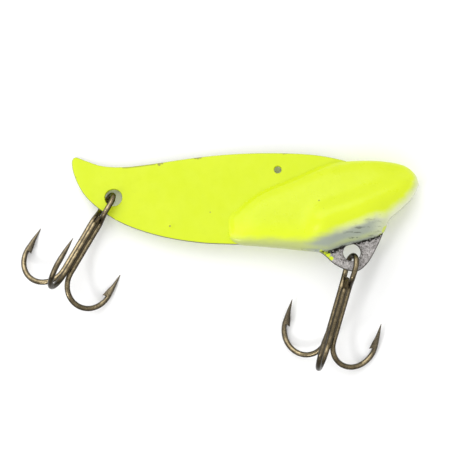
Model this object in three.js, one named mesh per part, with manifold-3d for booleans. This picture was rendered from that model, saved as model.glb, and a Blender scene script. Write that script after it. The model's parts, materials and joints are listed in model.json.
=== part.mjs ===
// A metal blade lure lying on its flank: a thin stamped fish-shaped blade, a lead weight cast
// round its head and belly, and two treble hooks threaded by their wire eyes through the blade.
// Each treble is one double-ended wire, bent round into an eye, with a third hook brazed to it.
// Millimetres, +Z up from the surface the lure lies on, +X toward the nose, +Y toward the back.
// The lure group has a frame of its own: origin in the line-tie hole, X toward the nose, Y toward
// the back, Z along the normal of the blade, with the blade's mid-plane at z = 0.

import * as THREE from 'three';
import { mergeVertices } from 'three/addons/utils/BufferGeometryUtils.js';
import Module from 'manifold-3d';

const wasm = await Module();
wasm.setup();

// ---- blade: 63.5 mm from tail tip to nose ----
const BLADE_THICKNESS = 0.8;
const BLADE_OUTLINE_STEPS = 130;
const LINE_TIE_RADIUS = 0.7;
const LINE_TIE_SIDES = 20;
const HOOK_HOLE_RADIUS = 1.6;
const HOOK_HOLE_SIDES = 32;
const LINE_TIE_HOLE = [0, 0];
const TAIL_HOLE = [-30.2, -4.95];
const TAB_HOLE = [13.35, -15.55];

// ---- lead weight: heights are from the blade's mid-plane ----
const LEAD_GAP = 0.3;               // clearance all round the blade inside the casting
const LEAD_LAND = 0.68;             // upright land on each side of the parting line
const LEAD_LOBE_HEIGHT = 2.65;      // base lobe
const LEAD_BULGE_HEIGHT = 2.1;      // head bulge, on top of the base lobe
const LEAD_BULGE_START = new THREE.Vector3(8.4, -9.9, 0);
const LEAD_BULGE_END = new THREE.Vector3(24, -4.4, 0);
const LEAD_BULGE_CORE = 0.8;        // half width of the full-height crest
const LEAD_BULGE_FALL = 3.2;        // width over which the bulge falls back to the lobe
const LEAD_CREASE_ROLL = 2.6;       // width of the rounded slope along the back
const LEAD_BELLY_ROLL = 4.8;        // width of the rounded slope along the belly
const LEAD_NOSE_ROLL = 3.9;         // width of the rounded slope at the nose
const LEAD_NOSE_START = 8;
const LEAD_NOSE_FULL = 18;
const LEAD_SOFT_EDGE = 0.85;        // shallow start of the slope, where it leaves the blade
const LEAD_ROUND_EDGE = 0.5;        // a quarter circle
const LEAD_AROUND = 36;
const LEAD_ALONG = 38;

// ---- treble hooks ----
const WIRE = 1.0;
const WIRE_SIDES = 8;
const DOUBLE_WIRE_STEPS = 100;
const SINGLE_WIRE_STEPS = 40;
const HOOK_LENGTH = 21.1;           // from the wire centre in the eye to the outside of the bends
const BEND_RADIUS = 4.4;            // centre line of the wire
const BEND_LEAD_IN = 0.8;           // last control point of the shank before the bend
const SHANK_OFFSET = 0.78;          // each wire's distance from the axis of the treble
const POINT_OFFSET = 9.5;           // tip of a point from the axis of the treble
const POINT_HEIGHT = 9.6;           // tip of a point above the outside of the bend
const NEEDLE_LENGTH = 4.6;
const NEEDLE_OVERLAP = 0.25;        // how far the needle starts inside the bent wire
const NEEDLE_TIP = 0.04;
const NEEDLE_TAPER = [[3.3, 0.9], [1.9, 0.62], [0.7, 0.3]];  // [from the tip, share of radius]
const BARB_THICKNESS = 0.36;
const BARB = [[2.5, 0.28], [5.0, -0.62], [4.85, -0.42], [3.9, 0.3]];  // [from the tip, outward]
const EYE_RADIUS = 1.8;             // centre line of the wire
const EYE_STRAIGHT = 1.9;           // straight sides of the eye
const EYE_PINCH = 0.97;             // how far the sides have drawn in at their ends
const SHANK_START = 5.9;            // where the two legs have come together
const SINGLE_START = 6.1;           // cut end of the third wire
const RIGHT_HOOK = 126;             // degrees round the shank from the third hook
const LEFT_HOOK = -107;
const THIRD_HOOK = 0;

// ---- how it lies: tail tip and far cheek on the surface, hooks fallen flat ----
const LURE_ROLL = -12;              // belly edge raised, degrees about X
const LURE_PITCH = -2.6;            // tail lowered, degrees about Y
const TAIL_TREBLE = {
  at: [-30.39, -4.45, 0.2], swing: -119.8, lean: 0.1, roll: 1.3, eyeTwist: 28,
};
const BELLY_TREBLE = {
  at: [13.8, -16.32, 0.69], swing: -107.2, lean: 19.7, roll: 3.5, eyeTwist: 32,
};

const bladePaint = new THREE.MeshStandardMaterial({ color: 0xe8f93f, roughness: 0.45, metalness: 0 });
const weightPaint = new THREE.MeshStandardMaterial({ color: 0xe6f540, roughness: 0.4, metalness: 0 });
const bronze = new THREE.MeshStandardMaterial({ color: 0x7a6848, roughness: 0.35, metalness: 1 });
const darkBronze = new THREE.MeshStandardMaterial({ color: 0x6b5a3c, roughness: 0.4, metalness: 1 });

const { degToRad, lerp, smoothstep, clamp } = THREE.MathUtils;
const flat = ([x, y]) => new THREE.Vector3(x, y, 0);

function solid(geometry) {
  geometry.deleteAttribute('normal');
  geometry.deleteAttribute('uv');
  const merged = mergeVertices(geometry, 1e-5);
  const mesh = new wasm.Mesh({
    numProp: 3,
    vertProperties: new Float32Array(merged.attributes.position.array),
    triVerts: new Uint32Array(merged.index.array),
  });
  mesh.merge();
  return new wasm.Manifold(mesh);
}

function named(name, body, material) {
  const { vertProperties, triVerts } = body.getMesh();
  const geometry = new THREE.BufferGeometry();
  geometry.setAttribute('position', new THREE.BufferAttribute(vertProperties, 3));
  geometry.setIndex(new THREE.BufferAttribute(triVerts, 1));
  geometry.computeVertexNormals();
  const mesh = new THREE.Mesh(geometry, material);
  mesh.name = name;
  return mesh;
}

// ---- the blade ----

const bladeEdge = new THREE.CatmullRomCurve3([
  // concave top of the tail, then the back
  [-37.4, 2.75], [-35.4, 2.05], [-32.6, 1.1], [-28.6, 0.8], [-23.4, 1.3], [-16.2, 2.3],
  [-8.8, 3], [-0.6, 3.15], [6.8, 2.7], [11, 1.9], [15, 0.7],
  // head, inside the casting
  [19.5, -0.8], [22.6, -2.4], [23.4, -4.4], [21.6, -6.8], [19.9, -9.4],
  // the tab that carries the belly hook
  [19, -12.2], [17.6, -15.2], [16, -17.75], [14.2, -19.05], [12.2, -18.7], [10.1, -17.6], [8.1, -15.8],
  // belly, inside the casting and then bare
  [5.8, -14.7], [0, -14.2], [-7, -13.9], [-14.3, -13.5], [-21.6, -12.2], [-28.2, -9.9],
  [-32.6, -7.2], [-35.6, -4.3], [-37.3, -1.2],
  // tail tip
  [-37.95, 1.2], [-37.9, 2.3],
].map(flat), true, 'centripetal');

function bladeOutline() {
  const points = bladeEdge.getPoints(BLADE_OUTLINE_STEPS).slice(0, -1);
  return new THREE.Shape(points.map((p) => new THREE.Vector2(p.x, p.y)));
}

function roundHole([x, y], radius, sides) {
  const circle = new THREE.EllipseCurve(x, y, radius, radius);
  return new THREE.Path(circle.getPoints(sides).slice(0, -1));
}

function makeBlade() {
  const shape = bladeOutline();
  shape.holes.push(roundHole(LINE_TIE_HOLE, LINE_TIE_RADIUS, LINE_TIE_SIDES));
  shape.holes.push(roundHole(TAIL_HOLE, HOOK_HOLE_RADIUS, HOOK_HOLE_SIDES));
  shape.holes.push(roundHole(TAB_HOLE, HOOK_HOLE_RADIUS, HOOK_HOLE_SIDES));
  const geometry = new THREE.ExtrudeGeometry(shape, { depth: BLADE_THICKNESS, bevelEnabled: false });
  geometry.translate(0, 0, -BLADE_THICKNESS / 2);
  return solid(geometry);
}

// The blade grown by the clearance on every side, without its holes.
function bladeClearance() {
  const geometry = new THREE.ExtrudeGeometry(bladeOutline(), {
    depth: BLADE_THICKNESS,
    bevelThickness: LEAD_GAP,
    bevelSize: LEAD_GAP,
    bevelSegments: 1,
  });
  geometry.translate(0, 0, -BLADE_THICKNESS / 2);
  return solid(geometry);
}

// ---- the lead weight ----
// A ball stretched between the rear of the lobe and the nose: its rows cross the casting from
// the back to the belly, and two of its columns lie on the parting line.

const leadBack = new THREE.CatmullRomCurve3([
  [-9.1, -11.4], [-8.95, -8.9], [-7.4, -7.2], [-3.75, -4.3], [2.8, -1.5], [8.9, 1],
  [13.2, 1.45], [19.6, 1.25], [23.4, 0.3], [25.2, -1.4], [25.75, -3.1],
].map(flat), false, 'centripetal');

const leadBelly = new THREE.CatmullRomCurve3([
  [-9.1, -11.4], [-8.6, -13.1], [-6.8, -14.3], [0.4, -14.7], [6.4, -15.3], [9.2, -15.4],
  [12.3, -14.3], [16, -13.4], [19.1, -12], [20.3, -9.5], [22.3, -7.7], [24.6, -5.4], [25.75, -3.1],
].map(flat), false, 'centripetal');

const leadRim = [...leadBack.getPoints(80), ...leadBelly.getPoints(80)];
const leadCrest = new THREE.Line3(LEAD_BULGE_START, LEAD_BULGE_END);

// Height of a cheek over the mid-plane; across runs from 0 at the back to 1 at the belly.
function leadHeight(p, across) {
  const rim = Math.min(...leadRim.map((q) => q.distanceTo(p)));
  const nose = smoothstep(p.x, LEAD_NOSE_START, LEAD_NOSE_FULL);
  const slope = lerp(LEAD_CREASE_ROLL, LEAD_BELLY_ROLL, smoothstep(across, 0.1, 0.6));
  const width = lerp(slope, LEAD_NOSE_ROLL, nose);
  const roundness = Math.max(nose, smoothstep(across, 0.4, 0.8));
  const power = lerp(LEAD_SOFT_EDGE, LEAD_ROUND_EDGE, roundness);
  const edge = (1 - (1 - clamp(rim / width, 0, 1)) ** 2) ** power;
  const crestDistance = leadCrest.closestPointToPoint(p, true, new THREE.Vector3()).distanceTo(p);
  const fall = clamp((crestDistance - LEAD_BULGE_CORE) / LEAD_BULGE_FALL, 0, 1);
  const bulge = (1 + Math.cos(Math.PI * fall)) / 2;
  return edge * (LEAD_LOBE_HEIGHT + LEAD_BULGE_HEIGHT * bulge);
}

function leadPoint(row, column) {
  const half = LEAD_AROUND / 2;
  const side = column < half ? -1 : 1;
  const step = column % half;
  const along = row / LEAD_ALONG;
  // the rows are closer together at both ends
  const station = along / 2 + (1 - Math.cos(Math.PI * along)) / 4;
  const onPartingLine = step === 0;
  // the first and last steps stand on the rim, above the parting line
  const eased = (1 - Math.cos((Math.PI * (step - 1)) / (half - 2))) / 2;
  let across = side < 0 ? eased : 1 - eased;
  if (onPartingLine) {
    across = column === half ? 1 : 0;
  }
  const p = leadBack.getPointAt(station).lerp(leadBelly.getPointAt(station), across);
  const atPole = row % LEAD_ALONG === 0;
  if (!onPartingLine && !atPole) {
    p.z = side * Math.max(leadHeight(p, across), LEAD_LAND);
  }
  return p;
}

function makeLead() {
  const geometry = new THREE.SphereGeometry(1, LEAD_AROUND, LEAD_ALONG);
  const position = geometry.attributes.position;
  const columns = LEAD_AROUND + 1;
  for (let i = 0; i < position.count; i += 1) {
    const p = leadPoint(Math.floor(i / columns), (i % columns) % LEAD_AROUND);
    position.setXYZ(i, p.x, p.y, p.z);
  }
  return solid(geometry).subtract(bladeClearance());
}

// ---- the treble hooks ----
// Treble frame: X from the wire centre in the eye down the shank, Z toward the third hook.

const BEND_CENTRE = HOOK_LENGTH - WIRE / 2 - BEND_RADIUS;
const POINT_X = HOOK_LENGTH - POINT_HEIGHT;

const outward = (degrees) => new THREE.Vector3(0, Math.sin(degToRad(degrees)), Math.cos(degToRad(degrees)));
const inTreble = (x, radius, degrees) => outward(degrees).multiplyScalar(radius).setX(x);

// Centre line of one hook, from under the eye to the foot of its needle.
function hookLine(degrees, start) {
  const line = [];
  const shankPoints = 4;
  for (let i = 0; i <= shankPoints; i += 1) {
    const x = lerp(start, BEND_CENTRE - BEND_LEAD_IN, i / shankPoints);
    line.push(inTreble(x, SHANK_OFFSET, degrees));
  }
  for (let angle = 0; angle <= 180; angle += 15) {
    const x = BEND_CENTRE + BEND_RADIUS * Math.sin(degToRad(angle));
    const radius = SHANK_OFFSET + BEND_RADIUS * (1 - Math.cos(degToRad(angle)));
    line.push(inTreble(x, radius, degrees));
  }
  return line;
}

// Centre line of the eye: a half round with straight sides, turned about the shank.
function eyeLine(twist) {
  const line = [];
  const side = outward(twist);
  const end = EYE_RADIUS + EYE_STRAIGHT;
  line.push(side.clone().multiplyScalar(EYE_RADIUS * EYE_PINCH).setX(end));
  for (let angle = 90; angle >= -90; angle -= 30) {
    const x = EYE_RADIUS * (1 - Math.cos(degToRad(angle)));
    line.push(side.clone().multiplyScalar(EYE_RADIUS * Math.sin(degToRad(angle))).setX(x));
  }
  line.push(side.clone().multiplyScalar(-EYE_RADIUS * EYE_PINCH).setX(end));
  return line;
}

function wire(points, steps) {
  const path = new THREE.CatmullRomCurve3(points, false, 'centripetal');
  path.arcLengthDivisions = 600;
  const ring = new THREE.EllipseCurve(0, 0, WIRE / 2, WIRE / 2).getPoints(WIRE_SIDES).slice(0, -1);
  const geometry = new THREE.ExtrudeGeometry(new THREE.Shape(ring), { steps, extrudePath: path });
  return solid(geometry);
}

// A thin sliver raised from the inner side of the needle, pointing back toward the bend.
function barb(degrees) {
  const inner = POINT_OFFSET - WIRE / 2;
  const outline = BARB.map(([fromTip, out]) => new THREE.Vector2(POINT_X + fromTip, inner + out));
  const geometry = new THREE.ExtrudeGeometry(new THREE.Shape(outline), {
    depth: BARB_THICKNESS,
    bevelEnabled: false,
  });
  geometry.translate(0, 0, -BARB_THICKNESS / 2);
  // drawn with Y as the radius, so it is turned into the plane of its hook
  geometry.rotateX(Math.PI / 2 - degToRad(degrees));
  return solid(geometry);
}

function needle(degrees) {
  const foot = inTreble(BEND_CENTRE, SHANK_OFFSET + 2 * BEND_RADIUS, degrees);
  const tip = inTreble(POINT_X, POINT_OFFSET, degrees);
  const direction = tip.clone().sub(foot);
  const reach = direction.length();
  const start = reach - NEEDLE_LENGTH - NEEDLE_OVERLAP;
  const profile = [new THREE.Vector2(0, start), new THREE.Vector2(WIRE / 2, start)];
  for (const [fromTip, share] of NEEDLE_TAPER) {
    profile.push(new THREE.Vector2((WIRE / 2) * share, reach - fromTip));
  }
  profile.push(new THREE.Vector2(NEEDLE_TIP, reach), new THREE.Vector2(0, reach));
  const geometry = new THREE.LatheGeometry(profile, WIRE_SIDES);
  const along = new THREE.Vector3(0, 1, 0);
  geometry.applyQuaternion(new THREE.Quaternion().setFromUnitVectors(along, direction.normalize()));
  geometry.translate(foot.x, foot.y, foot.z);
  return solid(geometry).add(barb(degrees));
}

// One wire with a hook at each end, bent back on itself at the eye.
function doubleWire(eyeTwist) {
  const right = hookLine(RIGHT_HOOK, SHANK_START).reverse();
  const left = hookLine(LEFT_HOOK, SHANK_START);
  const body = wire([...right, ...eyeLine(eyeTwist), ...left], DOUBLE_WIRE_STEPS);
  return body.add(needle(RIGHT_HOOK)).add(needle(LEFT_HOOK));
}

function singleWire() {
  return wire(hookLine(THIRD_HOOK, SINGLE_START), SINGLE_WIRE_STEPS).add(needle(THIRD_HOOK));
}

function treble(name, place) {
  const group = new THREE.Group();
  group.rotation.order = 'ZYX';
  group.rotation.set(degToRad(place.roll), degToRad(place.lean), degToRad(place.swing));
  group.position.set(...place.at);
  group.add(named(`${name}_double_wire`, doubleWire(place.eyeTwist), bronze));
  group.add(named(`${name}_single_wire`, singleWire(), darkBronze));
  return group;
}

// ---- assembly ----

const lure = new THREE.Group();
lure.add(named('blade', makeBlade(), bladePaint));
lure.add(named('lead_weight', makeLead(), weightPaint));
lure.add(treble('tail_hook', TAIL_TREBLE));
lure.add(treble('belly_hook', BELLY_TREBLE));
lure.rotation.set(degToRad(LURE_ROLL), degToRad(LURE_PITCH), 0);

// The origin is the middle of the footprint, on the surface the lure lies on.
const part = new THREE.Group();
part.add(lure);
part.updateMatrixWorld(true);
const extent = new THREE.Box3().setFromObject(part, true);
const middle = extent.getCenter(new THREE.Vector3());
lure.position.set(-middle.x, -middle.y, -extent.min.z);

export default part;
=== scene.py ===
"""Looks of a metal blade lure lying on its flank: blade, cast head and two treble hooks.

Shapes are drawn in the lure's own frame, in millimetres: origin in the line-tie hole, X toward
the nose, Y toward the back, Z along the blade's normal. LURE turns them into the row frame.
"""

import json
import math

import bpy
import numpy as np
from mathutils import Matrix, Vector, noise
from mathutils.geometry import delaunay_2d_cdt


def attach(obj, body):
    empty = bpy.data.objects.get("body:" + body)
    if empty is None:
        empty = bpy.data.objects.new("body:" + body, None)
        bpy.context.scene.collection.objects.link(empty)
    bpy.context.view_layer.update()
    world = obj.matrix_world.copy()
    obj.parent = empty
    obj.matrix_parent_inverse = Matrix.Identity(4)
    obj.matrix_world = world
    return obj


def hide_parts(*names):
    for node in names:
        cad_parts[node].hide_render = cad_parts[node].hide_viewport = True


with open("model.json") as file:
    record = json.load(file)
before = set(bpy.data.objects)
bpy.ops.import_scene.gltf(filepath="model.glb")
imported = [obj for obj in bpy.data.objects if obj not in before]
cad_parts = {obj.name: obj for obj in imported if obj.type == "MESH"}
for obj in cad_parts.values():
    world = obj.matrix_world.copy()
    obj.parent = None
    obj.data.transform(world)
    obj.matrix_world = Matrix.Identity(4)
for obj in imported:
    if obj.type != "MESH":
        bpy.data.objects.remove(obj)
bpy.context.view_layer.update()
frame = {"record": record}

MM = 0.001
FAR = 1e9
TINY = 1e-6
# how far apart in the noise field two seeds lie
NOISE_SHIFT = Vector((17.3, 5.1, 9.7))

# ---- where the lure lies ----
MOUNTS = {m["name"]: m for m in frame["record"]["mounts"]}
LINE_TIE = Vector(MOUNTS["line_tie"]["pos_m"])
LURE_ROLL = math.radians(-12)
LURE_PITCH = math.radians(-2.6)
LURE = (
    Matrix.Translation(LINE_TIE)
    @ Matrix.Rotation(LURE_ROLL, 4, "X")
    @ Matrix.Rotation(LURE_PITCH, 4, "Y")
    @ Matrix.Scale(MM, 4)
)

# ---- blade ----
BLADE_HALF = 0.4
BLADE_EDGE_POINTS = 480
LINE_TIE_RADIUS = 0.7
LINE_TIE_SIDES = 28
HOOK_HOLE_RADIUS = 1.6
HOOK_HOLE_SIDES = 56
HOLES = [
    ((0, 0), LINE_TIE_RADIUS),
    ((-30.2, -4.95), HOOK_HOLE_RADIUS),
    ((13.35, -15.55), HOOK_HOLE_RADIUS),
]
BLADE_GRID = 0.5
ROW_PITCH = 0.866
RIM_CLEARANCE = 0.3
HOLE_CLEARANCE = 0.35
HOLE_SLACK = 0.02
BLADE_OUTLINE = [
    (-37.4, 2.75), (-35.4, 2.05), (-32.6, 1.1), (-28.6, 0.8), (-23.4, 1.3), (-16.2, 2.3),
    (-8.8, 3), (-0.6, 3.15), (6.8, 2.7), (11, 1.9), (15, 0.7),
    (19.5, -0.8), (22.6, -2.4), (23.4, -4.4), (21.6, -6.8), (19.9, -9.4),
    (19, -12.2), (17.6, -15.2), (16, -17.75), (14.2, -19.05), (12.2, -18.7), (10.1, -17.6),
    (8.1, -15.8), (5.8, -14.7), (0, -14.2), (-7, -13.9), (-14.3, -13.5), (-21.6, -12.2),
    (-28.2, -9.9), (-32.6, -7.2), (-35.6, -4.3), (-37.3, -1.2), (-37.95, 1.2), (-37.9, 2.3),
]
# distance in from the edge against height over the mid-plane
EDGE_ROUND = [(0.0, 0.2), (0.03, 0.29), (0.09, 0.36), (0.2, 0.4)]
HOLE_ROUND = [(0.0, 0.27), (0.03, 0.35), (0.1, 0.4)]
# one raised pimple of paint, on the upper flank only: place, spread, height
PIMPLE = ((-19.75, -10.44), 0.4, 0.13)
PIMPLE_RINGS = 6
PIMPLE_RING_STEP = 0.2
PIMPLE_SIDES = 8
# shallow bends of the whole plate
DENTS = [((-9.6, -6.2), 1.4, -0.05), ((-24.0, -3.4), 1.8, -0.04)]
WARP_HEIGHT = 0.03
WARP_SCALE = 0.16
WARP_SEED = 1
WARP_END = 6
TAB_STARTS_X = (7.2, 8.6)
TAB_STARTS_DOWN = (10.5, 11.5)

# ---- lead weight ----
LEAD_BACK = [
    (-9.1, -11.4), (-8.95, -8.9), (-7.4, -7.2), (-3.75, -4.3), (2.8, -1.5), (8.9, 1),
    (13.2, 1.45), (19.6, 1.25), (23.4, 0.3), (25.2, -1.4), (25.75, -3.1),
]
LEAD_BELLY = [
    (-9.1, -11.4), (-8.9, -12.7), (-7.6, -13.75), (-4.0, -14.2), (0.4, -14.6), (6.4, -15.3),
    (9.2, -15.4), (12.3, -14.3), (16, -13.4), (19.1, -12), (20.3, -9.5), (22.3, -7.7),
    (24.6, -5.4), (25.75, -3.1),
]
LEAD_ROWS = 190
LEAD_COLUMNS = 84
LEAD_LOBE_HEIGHT = 2.65
LEAD_BULGE_HEIGHT = 2.1
LEAD_BULGE_START = (8.4, -9.9)
LEAD_BULGE_END = (24, -4.4)
LEAD_BULGE_REACH = 4.0
LEAD_BULGE_POWER = 1.15
# upright land on each side of the parting line, and how its corner is rounded
LEAD_LAND = 0.43
LEAD_LAND_ROUND = 0.22
LEAD_RISE = 1 - LEAD_LAND / (LEAD_LOBE_HEIGHT + LEAD_BULGE_HEIGHT)
# distance in from the rim over which a cheek rises: at the back, the belly and the nose
BACK_WIDTH = 3.2
BELLY_WIDTH = 4.8
NOSE_WIDTH = 3.9
RISE_RATE = 2.1
NOSE_STARTS_X = (8, 18)
BELLY_WIDENS = (0.1, 0.6)
BELLY_ROUNDS = (0.35, 0.8)
REAR_END_HEIGHT = 0.6
REAR_END_X = (-9.5, -3.5)
FOOT_SHARE = 0.35
FOOT_WIDTH = 1.4
RELIEF_STEP = 0.2
RELIEF_BLUR = 0.85
RELIEF_MARGIN = 3
RELIEF_FROM_RIM = (0.3, 1.6)
# low swells left by the mould: height, scale, seed
SWELLS = [(0.03, 0.45, 2), (0.01, 1.3, 3)]
SWELLS_FROM_PLANE = (0.5, 1.4)

# upper edge of the white belly, as seen from above, from the rear of the casting to the nose
FADE_EDGE = np.array([
    (-8.5, -12.9), (-5.1, -12.9), (-0.5, -13.0), (4.0, -13.2), (5.9, -12.9), (7.3, -12.4),
    (9.5, -11.5), (12.3, -10.5), (15.0, -9.5), (17.7, -8.4), (19.6, -8.4), (21.4, -6.8),
    (23.2, -5.5), (24.7, -3.6), (25.3, -2.2), (25.7, -0.5),
])
FADE_CLOSING = [(30, -0.5), (30, -22), (-8.5, -22)]

# ---- treble hooks ----
FIRST_WIRE_SEED = 3
SEEDS_PER_TREBLE = 4
WIRE_RADIUS = 0.5
WIRE_FACES = 20
WIRE_STEP = 0.28
POINT_STEP = 0.1
POINT_REACH = 7.0
AHEAD = 0.05
WIRE_CURVE_STEPS = 16
HOOK_LENGTH = 21.1
BEND_RADIUS = 4.4
BEND_LEAD_IN = 0.8
SHANK_OFFSET = 0.78
POINT_OFFSET = 9.5
POINT_HEIGHT = 9.6
EYE_RADIUS = 1.8
EYE_STRAIGHT = 1.9
EYE_CLOSING = 0.97
SHANK_START = 5.9
SINGLE_START = 6.1
RIGHT_HOOK = 126
LEFT_HOOK = -107
BEND_CENTRE = HOOK_LENGTH - WIRE_RADIUS - BEND_RADIUS
POINT_X = HOOK_LENGTH - POINT_HEIGHT
TREBLES = {
    "tail_hook": {
        "at": (-30.39, -4.45, 0.2), "swing": -119.8, "lean": 0.1, "roll": 1.3,
        "eye": 28, "web": 4.5,
    },
    "belly_hook": {
        "at": (13.8, -16.32, 0.69), "swing": -107.2, "lean": 19.7, "roll": 3.5,
        "eye": 32, "web": 4.15,
    },
}
# distance from the tip against share of the wire's radius
POINT_TAPER = np.array([
    (0, 0.05), (0.25, 0.16), (0.8, 0.32), (1.9, 0.62), (3.2, 0.88), (4.6, 1.0),
])
# distance from the tip against how far the inner side stands out
BARB_OUT = np.array([
    (2.2, 0), (3.0, 0.16), (4.0, 0.42), (4.72, 0.6), (4.8, -0.16), (5.5, -0.13), (6.3, 0),
])
BARB_RIDGE = 8
BARB_CUT_RIDGE = 3
# the barb's heel is drawn back, away from the tip, over this stretch
BARB_HEEL = (4.0, 4.78)
BARB_HEEL_BACK = 0.4
BARB_HEEL_RUN = 0.72
# a cut end of a wire is rounded over this length, down to this share of the radius
CUT_ROUND = 0.3
CUT_SHARE = 0.55
DRAWN_WAVER = 0.02
DRAWN_WAVER_SCALE = 1.1
# distance down from the web's upper edge, half width in the plane of the eye, half thickness
BRAZE_PROFILE = np.array([
    (0.0, 0.35, 0.12), (0.1, 0.75, 0.2), (0.6, 0.8, 0.32), (1.2, 0.78, 0.44),
    (1.9, 0.64, 0.58), (2.7, 0.62, 0.62), (4.0, 0.6, 0.6),
])
BRAZE_ROWS = 100
BRAZE_SIDES = 30
BRAZE_LUMPS = 0.09
BRAZE_LUMPS_ALONG = 0.7
BRAZE_STOPS_SHORT = 0.2
BRAZE_END = 0.5
# one fixed facing for the braze, which gives it an even middle tone of the painted light and shade
BRAZE_PAINTED_LIGHT_FACING = 0.68
BRAZE_FROM_TIP = 40.0


# ---- curves ----

def spline(points, closed, steps=24):
    """A centripetal Catmull-Rom curve through the points, as a dense polyline."""
    p = np.array(points, float)
    n = len(p)
    out = []
    for i in range(n if closed else n - 1):
        if closed:
            a, b, c, d = (p[(i + k) % n] for k in (-1, 0, 1, 2))
        else:
            b, c = p[i], p[i + 1]
            a = p[i - 1] if i > 0 else 2 * b - c
            d = p[i + 2] if i + 2 < n else 2 * c - b
        dt = [max(np.linalg.norm(v) ** 0.5, TINY) for v in (b - a, c - b, d - c)]
        t1 = ((b - a) / dt[0] - (c - a) / (dt[0] + dt[1]) + (c - b) / dt[1]) * dt[1]
        t2 = ((c - b) / dt[1] - (d - b) / (dt[1] + dt[2]) + (d - c) / dt[2]) * dt[1]
        square, cube = 3 * (c - b) - 2 * t1 - t2, 2 * (b - c) + t1 + t2
        for s in np.arange(steps) / steps:
            out.append(b + t1 * s + square * s**2 + cube * s**3)
    out.append(p[0] if closed else p[-1])
    return np.array(out)


def lengths(line):
    return np.concatenate([[0], np.cumsum(np.linalg.norm(np.diff(line, axis=0), axis=1))])


def resample(line, places):
    """Points of the polyline at the given distances along it."""
    along = lengths(line)
    return np.stack([np.interp(places, along, line[:, k]) for k in range(line.shape[1])], axis=1)


def smoothstep(x, a, b):
    t = np.clip((np.asarray(x, float) - a) / (b - a), 0, 1)
    return t * t * (3 - 2 * t)


def distance_to_line(points, line):
    """Shortest distance of each point to the polyline."""
    p = np.asarray(points, float)
    best = np.full(len(p), FAR)
    for a, b in zip(line[:-1], line[1:]):
        d = b - a
        t = np.clip((p - a) @ d / max(d @ d, 1e-12), 0, 1)
        best = np.minimum(best, np.linalg.norm(p - a - t[:, None] * d, axis=1))
    return best


def inside(points, loop):
    """Even-odd test of points against a closed polygon."""
    x, y = np.asarray(points, float).T
    hit = np.zeros(len(x), bool)
    for (x0, y0), (x1, y1) in zip(loop, np.roll(loop, -1, axis=0)):
        crosses = (y0 > y) != (y1 > y)
        if y0 != y1:
            hit ^= crosses & (x < (x1 - x0) * (y - y0) / (y1 - y0) + x0)
    return hit


def ring(centre, radius, sides):
    angle = np.arange(sides) * 2 * math.pi / sides
    return np.array(centre) + np.stack([np.cos(angle), np.sin(angle)], axis=1) * radius


def wobble(points, scale, seed):
    """Smooth noise from -1 to 1 at each point."""
    shift = NOISE_SHIFT * seed
    return np.array([noise.noise(Vector(p) * scale + shift) for p in points])


# ---- meshes ----

class Shell:
    """Vertices and faces of a mesh that is being built from loops."""

    def __init__(self):
        self.vertices = []
        self.faces = []

    def loop(self, xy, z):
        """Adds points at one height and returns the first one's number."""
        first = len(self.vertices)
        self.vertices += [(x, y, z) for x, y in xy]
        return first

    def bridge(self, a, b, count, flip):
        """Quads between two closed loops of the same count."""
        for i in range(count):
            j = (i + 1) % count
            quad = (a + i, a + j, b + j, b + i)
            self.faces.append(quad[::-1] if flip else quad)


def tube_faces(rings, sides):
    """Faces of a tube of rings, with both ends closed."""
    faces = []
    for i in range(rings - 1):
        a, b = i * sides, (i + 1) * sides
        for k in range(sides):
            j = (k + 1) % sides
            faces.append((a + k, a + j, b + j, b + k))
    last = (rings - 1) * sides
    faces.append(tuple(range(sides))[::-1])
    faces.append(tuple(last + k for k in range(sides)))
    return faces


def piece(name, vertices, faces, body, replaces, attributes, smooth_angle):
    """A mesh drawn in the lure's frame, put in the row frame and riding on a body."""
    mesh = bpy.data.meshes.new(name)
    mesh.from_pydata([LURE @ Vector(v) for v in vertices], [], faces)
    mesh.validate()
    vector = mesh.attributes.new("local", "FLOAT_VECTOR", "POINT")
    vector.data.foreach_set("vector", np.asarray(vertices, np.float32).ravel())
    for key, values in attributes.items():
        attribute = mesh.attributes.new(key, "FLOAT", "POINT")
        attribute.data.foreach_set("value", np.asarray(values, np.float32))
    mesh.polygons.foreach_set("use_smooth", [True] * len(mesh.polygons))
    mesh.set_sharp_from_angle(angle=math.radians(smooth_angle))
    made = bpy.data.objects.new(name, mesh)
    bpy.context.scene.collection.objects.link(made)
    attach(made, body)
    if replaces:
        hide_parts(replaces)
    return made


# ---- blade ----

BLADE_LINE = spline(BLADE_OUTLINE, True)
LEAD_BACK_LINE = spline(LEAD_BACK, False)
LEAD_BELLY_LINE = spline(LEAD_BELLY, False)
LEAD_RIM = np.concatenate([LEAD_BACK_LINE, LEAD_BELLY_LINE[::-1]])


def outline_loop():
    """Even points round the blade's outline, and the direction inward at each."""
    total = lengths(BLADE_LINE)[-1]
    loop = resample(BLADE_LINE, np.arange(BLADE_EDGE_POINTS) * total / BLADE_EDGE_POINTS)
    tangent = np.roll(loop, -1, axis=0) - np.roll(loop, 1, axis=0)
    tangent /= np.linalg.norm(tangent, axis=1)[:, None]
    right = np.stack([tangent[:, 1], -tangent[:, 0]], axis=1)
    area = np.sum(loop[:, 0] * np.roll(loop[:, 1], -1) - loop[:, 1] * np.roll(loop[:, 0], -1))
    return loop, right if area < 0 else -right


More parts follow.
